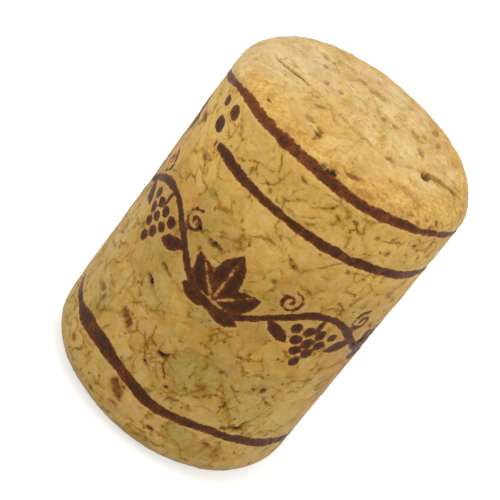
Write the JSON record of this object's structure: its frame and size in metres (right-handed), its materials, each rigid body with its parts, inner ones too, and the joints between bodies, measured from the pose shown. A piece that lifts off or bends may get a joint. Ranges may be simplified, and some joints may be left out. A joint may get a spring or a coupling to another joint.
{
  "type": "cork stopper",
  "caption": "Agglomerated cork stopper for a bottle neck: a straight cylinder with worn, rounded rims and a slightly crowned upper end.",
  "frame": {"origin": "centre of the flat lower end, on the surface that the stopper stands on", "axes": "+Z along the stopper's axis, up to the crowned end; -Y towards the side that the picture shows"},
  "size_m": [0.023, 0.023, 0.033],
  "materials": {
    "cork": "matte agglomerated cork, granules 2 to 7 mm, brown printed bands"
  },
  "bodies": {
    "root": {"stopper": "cork"}
  },
  "joints": []
}
